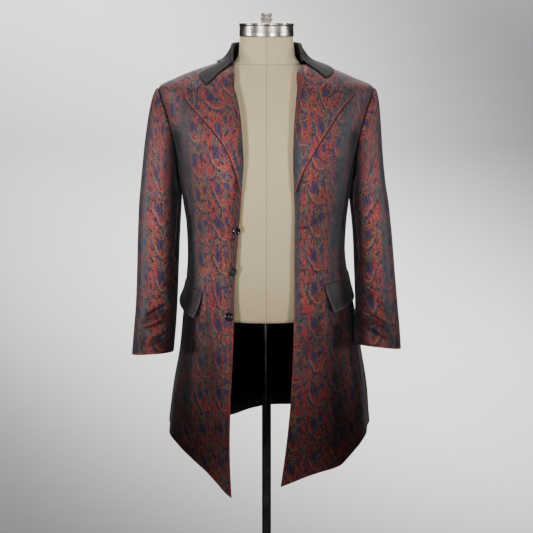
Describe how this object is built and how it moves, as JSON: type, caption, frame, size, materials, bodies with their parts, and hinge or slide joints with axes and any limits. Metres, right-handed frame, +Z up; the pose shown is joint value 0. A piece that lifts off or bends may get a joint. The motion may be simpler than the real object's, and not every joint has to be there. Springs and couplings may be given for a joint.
{
  "type": "frock coat on a limbless dress form with stand",
  "caption": "Thigh-length frock coat in patterned brocade with wide notched lapels and plain collar, worn open on a limbless dress form with pole and round base.",
  "frame": {"origin": "centre of the flat underside of the round base, on the floor under the pole", "axes": "+Z up along the pole, -Y is the coat's front, +X is toward the wearer's left arm"},
  "size_m": [0.6075, 0.3901, 1.6106],
  "materials": {
    "brocade": "satin",
    "collar_cloth": "matte",
    "button_black": "gloss",
    "form_cover": "matte",
    "chrome": "polished"
  },
  "bodies": {
    "root": {"front_right": "brocade", "back_right": "brocade", "sleeve_upper_right": "brocade", "sleeve_under_right": "brocade", "lapel_right": "brocade", "pocket_flap_right": "brocade", "front_left": "brocade", "back_left": "brocade", "sleeve_upper_left": "brocade", "sleeve_under_left": "brocade", "lapel_left": "brocade", "pocket_flap_left": "brocade", "collar": "collar_cloth", "button_1": "button_black", "button_2": "button_black", "button_3": "button_black", "form_torso": "form_cover", "form_neck_cap": "chrome", "stand_pole": "chrome", "stand_base": "chrome"}
  },
  "joints": []
}
